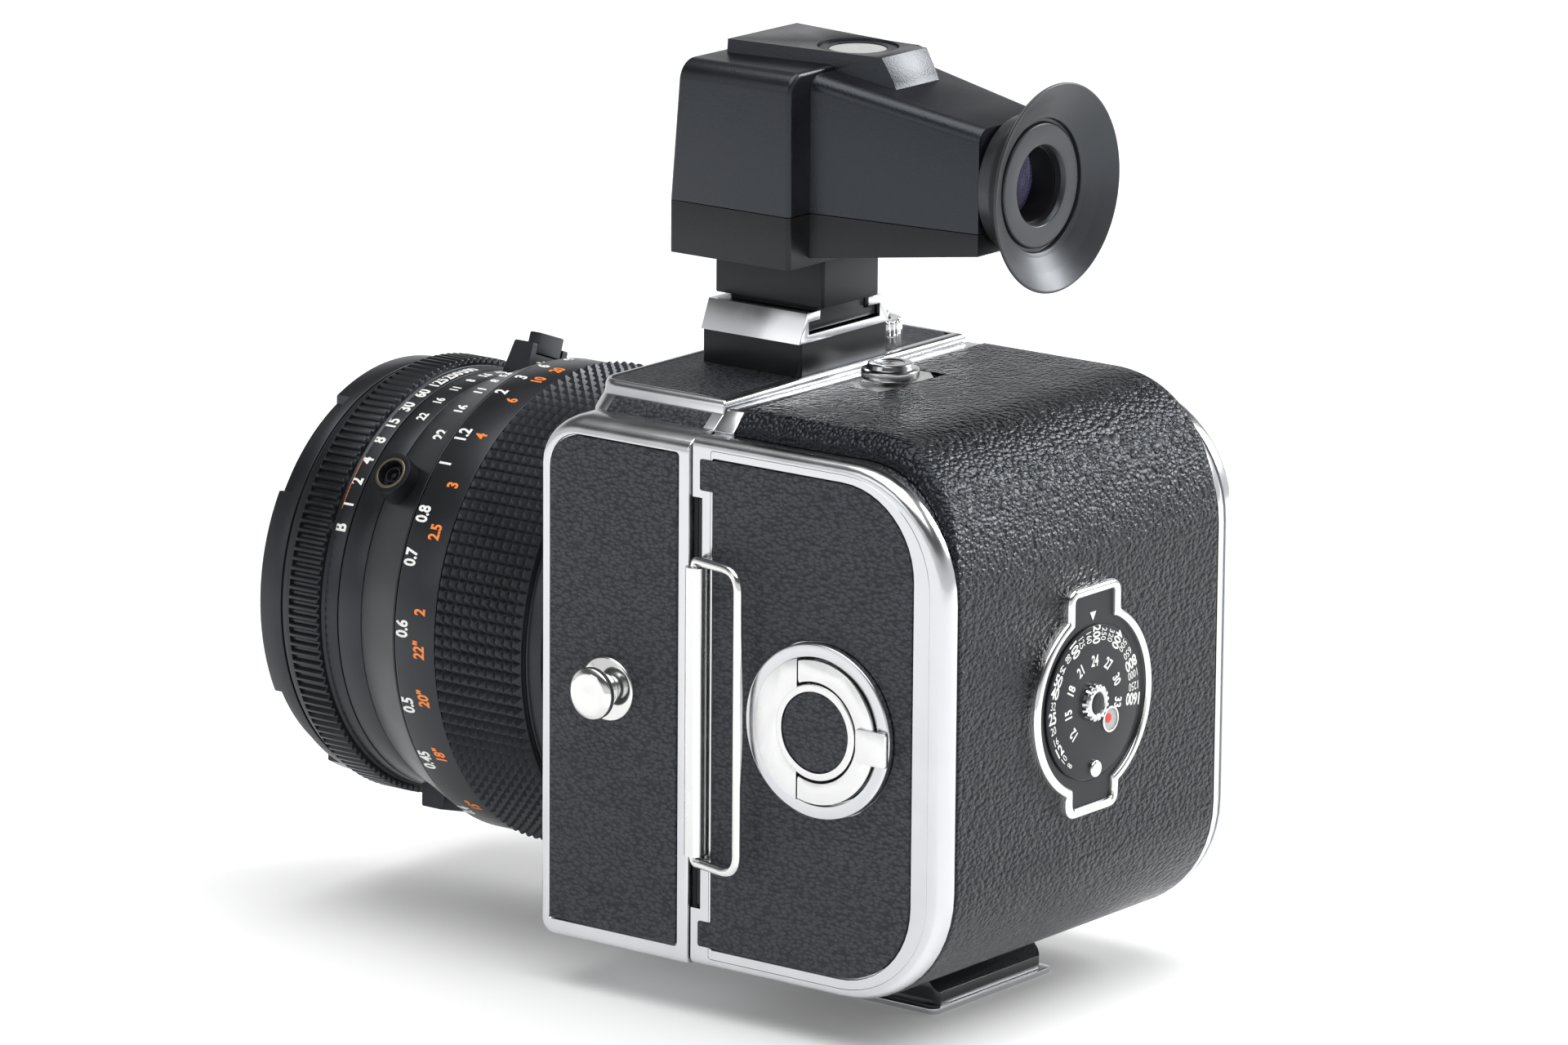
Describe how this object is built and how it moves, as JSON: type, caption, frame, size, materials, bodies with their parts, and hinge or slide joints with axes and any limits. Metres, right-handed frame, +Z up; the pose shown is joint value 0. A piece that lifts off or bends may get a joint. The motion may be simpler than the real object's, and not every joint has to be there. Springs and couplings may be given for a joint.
{
  "type": "medium format camera",
  "caption": "Compact wide-angle roll-film camera with a fixed leaf-shutter lens, detachable film magazine with dark slide, and an optical finder on an accessory shoe.",
  "frame": {"origin": "centre of the smaller tripod socket, on the foot's base plane", "axes": "-Y the way the lens looks, +X the viewer's left, +Z up; the optical axis lies in the X = 0 plane"},
  "size_m": [0.0924, 0.1464, 0.1504],
  "materials": {
    "black_paint": "satin black enamel",
    "black_anodised": "satin black anodised",
    "satin_aluminium": "satin chrome-plated edges",
    "bright_chrome": "bright plated",
    "leather_black": "fine pebble grain",
    "black_gloss": "gloss black",
    "black_plastic": "fine textured black",
    "rubber_black": "soft satin",
    "optical_glass": "coated",
    "steel": "brushed",
    "film": "film and backing paper"
  },
  "bodies": {
    "camera_body": {"body_shell": "satin_aluminium", "foot_plate": "bright_chrome", "foot_block": "black_gloss", "body_covering": "leather_black", "body_fittings": "bright_chrome", "light_chamber": "black_paint", "shoe_block": "black_paint", "accessory_shoe": "satin_aluminium", "lens_mount": "black_anodised"},
    "release_button": {"release_button": "bright_chrome"},
    "advance_crank": {"advance_crank": "satin_aluminium"},
    "crank_handle": {"crank_handle": "bright_chrome"},
    "focus_ring": {"focus_ring": "black_anodised", "focus_grip": "rubber_black"},
    "barrel": {"lens_barrel": "black_anodised", "shutter_case": "black_anodised", "rear_cell": "black_anodised", "lens_glass": "optical_glass", "front_bayonet": "black_anodised", "flash_socket": "black_anodised"},
    "shutter_speed_ring": {"shutter_speed_ring": "black_anodised"},
    "aperture_ring": {"aperture_ring": "black_anodised"},
    "interlock_key": {"interlock_key": "black_anodised"},
    "magazine": {"magazine_shell": "satin_aluminium", "magazine_wrap": "leather_black", "magazine_fittings": "satin_aluminium", "gear_cover": "satin_aluminium", "counter_window": "optical_glass"},
    "release_knob": {"release_knob": "bright_chrome"},
    "counter_disc": {"counter_disc": "steel"},
    "winding_crank": {"winding_crank": "satin_aluminium"},
    "winding_handle": {"winding_handle": "bright_chrome"},
    "reminder_dial": {"reminder_dial": "black_anodised"},
    "film_insert": {"insert_end_plate": "satin_aluminium", "insert_leather": "leather_black", "insert_frame": "steel", "film_web": "film"},
    "supply_spool": {"supply_spool": "film"},
    "takeup_spool": {"takeup_spool": "film"},
    "insert_key": {"key_base": "bright_chrome"},
    "key_handle": {"key_handle": "bright_chrome"},
    "dark_slide": {"dark_slide": "steel"},
    "dark_slide_bail": {"dark_slide_bail": "bright_chrome"},
    "finder": {"finder_upper_cover": "black_plastic", "finder_lower_cover": "black_plastic", "finder_foot": "black_plastic", "finder_glass": "optical_glass", "eyepiece_tube": "black_anodised", "eyecup": "rubber_black"},
    "iris_leaf_1": {"iris_leaf_1": "steel"},
    "shutter_leaf_1": {"shutter_leaf_1": "steel"},
    "iris_leaf_2": {"iris_leaf_2": "steel"},
    "shutter_leaf_2": {"shutter_leaf_2": "steel"},
    "iris_leaf_3": {"iris_leaf_3": "steel"},
    "shutter_leaf_3": {"shutter_leaf_3": "steel"},
    "iris_leaf_4": {"iris_leaf_4": "steel"},
    "shutter_leaf_4": {"shutter_leaf_4": "steel"},
    "iris_leaf_5": {"iris_leaf_5": "steel"},
    "shutter_leaf_5": {"shutter_leaf_5": "steel"}
  },
  "joints": [
    {"name": "focus_turn", "type": "hinge", "parent": "camera_body", "child": "focus_ring", "pos_m": [0, -0.045, 0.0513], "axis": [0, -1, 0], "range_deg": [0, 200]},
    {"name": "barrel_travel", "type": "slide", "parent": "camera_body", "child": "barrel", "axis": [0, -1, 0], "range_m": [0, 0.0065]},
    {"name": "shutter_speed_turn", "type": "hinge", "parent": "barrel", "child": "shutter_speed_ring", "pos_m": [0, -0.07, 0.0513], "axis": [0, -1, 0], "range_deg": [0, 71]},
    {"name": "aperture_turn", "type": "hinge", "parent": "barrel", "child": "aperture_ring", "pos_m": [0, -0.07, 0.0513], "axis": [0, -1, 0], "range_deg": [-18, 33]},
    {"name": "interlock_press", "type": "slide", "parent": "aperture_ring", "child": "interlock_key", "axis": [0, 1, 0], "range_m": [0, 0.0012], "stiffness_N_per_m": 150},
    {"name": "iris_leaf_1_swing", "type": "hinge", "parent": "barrel", "child": "iris_leaf_1", "pos_m": [0.0245, -0.0742, 0.0549], "axis": [0, -1, 0], "range_deg": [-13.2, 24.2]},
    {"name": "iris_leaf_2_swing", "type": "hinge", "parent": "barrel", "child": "iris_leaf_2", "pos_m": [0.00415, -0.0742, 0.07571], "axis": [0, -1, 0], "range_deg": [-13.2, 24.2]},
    {"name": "iris_leaf_3_swing", "type": "hinge", "parent": "barrel", "child": "iris_leaf_3", "pos_m": [-0.02194, -0.0742, 0.06279], "axis": [0, -1, 0], "range_deg": [-13.2, 24.2]},
    {"name": "iris_leaf_4_swing", "type": "hinge", "parent": "barrel", "child": "iris_leaf_4", "pos_m": [-0.0177, -0.0742, 0.03399], "axis": [0, -1, 0], "range_deg": [-13.2, 24.2]},
    {"name": "iris_leaf_5_swing", "type": "hinge", "parent": "barrel", "child": "iris_leaf_5", "pos_m": [0.01099, -0.0742, 0.02911], "axis": [0, -1, 0], "range_deg": [-13.2, 24.2]},
    {"name": "release_press", "type": "slide", "parent": "camera_body", "child": "release_button", "axis": [0, 0, -1], "range_m": [0, 0.003], "stiffness_N_per_m": 150},
    {"name": "shutter_leaf_1_swing", "type": "hinge", "parent": "barrel", "child": "shutter_leaf_1", "pos_m": [0.02087, -0.0758, 0.06335], "axis": [0, -1, 0], "range_deg": [0, 45.5]},
    {"name": "shutter_leaf_2_swing", "type": "hinge", "parent": "barrel", "child": "shutter_leaf_2", "pos_m": [-0.00501, -0.0758, 0.07487], "axis": [0, -1, 0], "range_deg": [0, 45.5]},
    {"name": "shutter_leaf_3_swing", "type": "hinge", "parent": "barrel", "child": "shutter_leaf_3", "pos_m": [-0.02397, -0.0758, 0.05382], "axis": [0, -1, 0], "range_deg": [0, 45.5]},
    {"name": "shutter_leaf_4_swing", "type": "hinge", "parent": "barrel", "child": "shutter_leaf_4", "pos_m": [-0.0098, -0.0758, 0.02928], "axis": [0, -1, 0], "range_deg": [0, 45.5]},
    {"name": "shutter_leaf_5_swing", "type": "hinge", "parent": "barrel", "child": "shutter_leaf_5", "pos_m": [0.01791, -0.0758, 0.03517], "axis": [0, -1, 0], "range_deg": [0, 45.5]},
    {"name": "advance_turn", "type": "hinge", "parent": "camera_body", "child": "advance_crank", "pos_m": [-0.0435, -0.015, 0.052], "axis": [1, 0, 0], "continuous": true},
    {"name": "crank_handle_fold", "type": "hinge", "parent": "advance_crank", "child": "crank_handle", "pos_m": [-0.04435, -0.015, 0.0747], "axis": [0, 1, 0], "range_deg": [0, 95]},
    {"name": "magazine_slide", "type": "slide", "parent": "camera_body", "child": "magazine", "axis": [0, 1, 0], "range_m": [0, 0.06]},
    {"name": "magazine_release", "type": "slide", "parent": "magazine", "child": "release_knob", "axis": [-1, 0, 0], "range_m": [0, 0.003], "stiffness_N_per_m": 200},
    {"name": "winding_turn", "type": "hinge", "parent": "magazine", "child": "winding_crank", "pos_m": [-0.04, 0.027, 0.063], "axis": [1, 0, 0], "continuous": true},
    {"name": "winding_handle_fold", "type": "hinge", "parent": "winding_crank", "child": "winding_handle", "pos_m": [-0.04005, 0.027, 0.0438], "axis": [0, -1, 0], "range_deg": [0, 95]},
    {"name": "counter_turn", "type": "hinge", "parent": "magazine", "child": "counter_disc", "pos_m": [-0.0366, 0.0315, 0.035], "axis": [1, 0, 0], "continuous": true},
    {"name": "dial_turn", "type": "hinge", "parent": "magazine", "child": "reminder_dial", "pos_m": [0.0037, 0.051, 0.0523], "axis": [0, 1, 0], "continuous": true},
    {"name": "insert_slide", "type": "slide", "parent": "magazine", "child": "film_insert", "axis": [1, 0, 0], "range_m": [0, 0.085]},
    {"name": "supply_turn", "type": "hinge", "parent": "film_insert", "child": "supply_spool", "pos_m": [0, 0.0285, 0.032], "axis": [1, 0, 0], "continuous": true},
    {"name": "takeup_turn", "type": "hinge", "parent": "film_insert", "child": "takeup_spool", "pos_m": [0, 0.0285, 0.071], "axis": [1, 0, 0], "continuous": true},
    {"name": "key_turn", "type": "hinge", "parent": "film_insert", "child": "insert_key", "pos_m": [0.0406, 0.0262, 0.0512], "axis": [-1, 0, 0], "range_deg": [0, 90]},
    {"name": "key_handle_fold", "type": "hinge", "parent": "insert_key", "child": "key_handle", "pos_m": [0.04188, 0.0238, 0.0512], "axis": [0, 0, -1], "range_deg": [0, 90]},
    {"name": "dark_slide_pull", "type": "slide", "parent": "film_insert", "child": "dark_slide", "axis": [1, 0, 0], "range_m": [0, 0.073]},
    {"name": "bail_fold", "type": "hinge", "parent": "dark_slide", "child": "dark_slide_bail", "pos_m": [0.0418, 0.0019, 0.0503], "axis": [0, 0, -1], "range_deg": [0, 90]},
    {"name": "finder_slide", "type": "slide", "parent": "camera_body", "child": "finder", "axis": [0, 1, 0], "range_m": [0, 0.03]}
  ],
  "couplings": [
    {"joint": "barrel_travel", "follows": "focus_turn", "m_per_rad": 0.0018478},
    {"joint": "iris_leaf_1_swing", "follows": "aperture_turn", "ratio": 0.72},
    {"joint": "iris_leaf_2_swing", "follows": "aperture_turn", "ratio": 0.72},
    {"joint": "iris_leaf_3_swing", "follows": "aperture_turn", "ratio": 0.72},
    {"joint": "iris_leaf_4_swing", "follows": "aperture_turn", "ratio": 0.72},
    {"joint": "iris_leaf_5_swing", "follows": "aperture_turn", "ratio": 0.72},
    {"joint": "shutter_leaf_1_swing", "follows": "release_press", "rad_per_m": 261.8},
    {"joint": "shutter_leaf_2_swing", "follows": "release_press", "rad_per_m": 261.8},
    {"joint": "shutter_leaf_3_swing", "follows": "release_press", "rad_per_m": 261.8},
    {"joint": "shutter_leaf_4_swing", "follows": "release_press", "rad_per_m": 261.8},
    {"joint": "shutter_leaf_5_swing", "follows": "release_press", "rad_per_m": 261.8},
    {"joint": "counter_turn", "follows": "winding_turn", "ratio": -0.0667},
    {"joint": "supply_turn", "follows": "winding_turn", "ratio": -0.8},
    {"joint": "takeup_turn", "follows": "winding_turn", "ratio": -1}
  ]
}
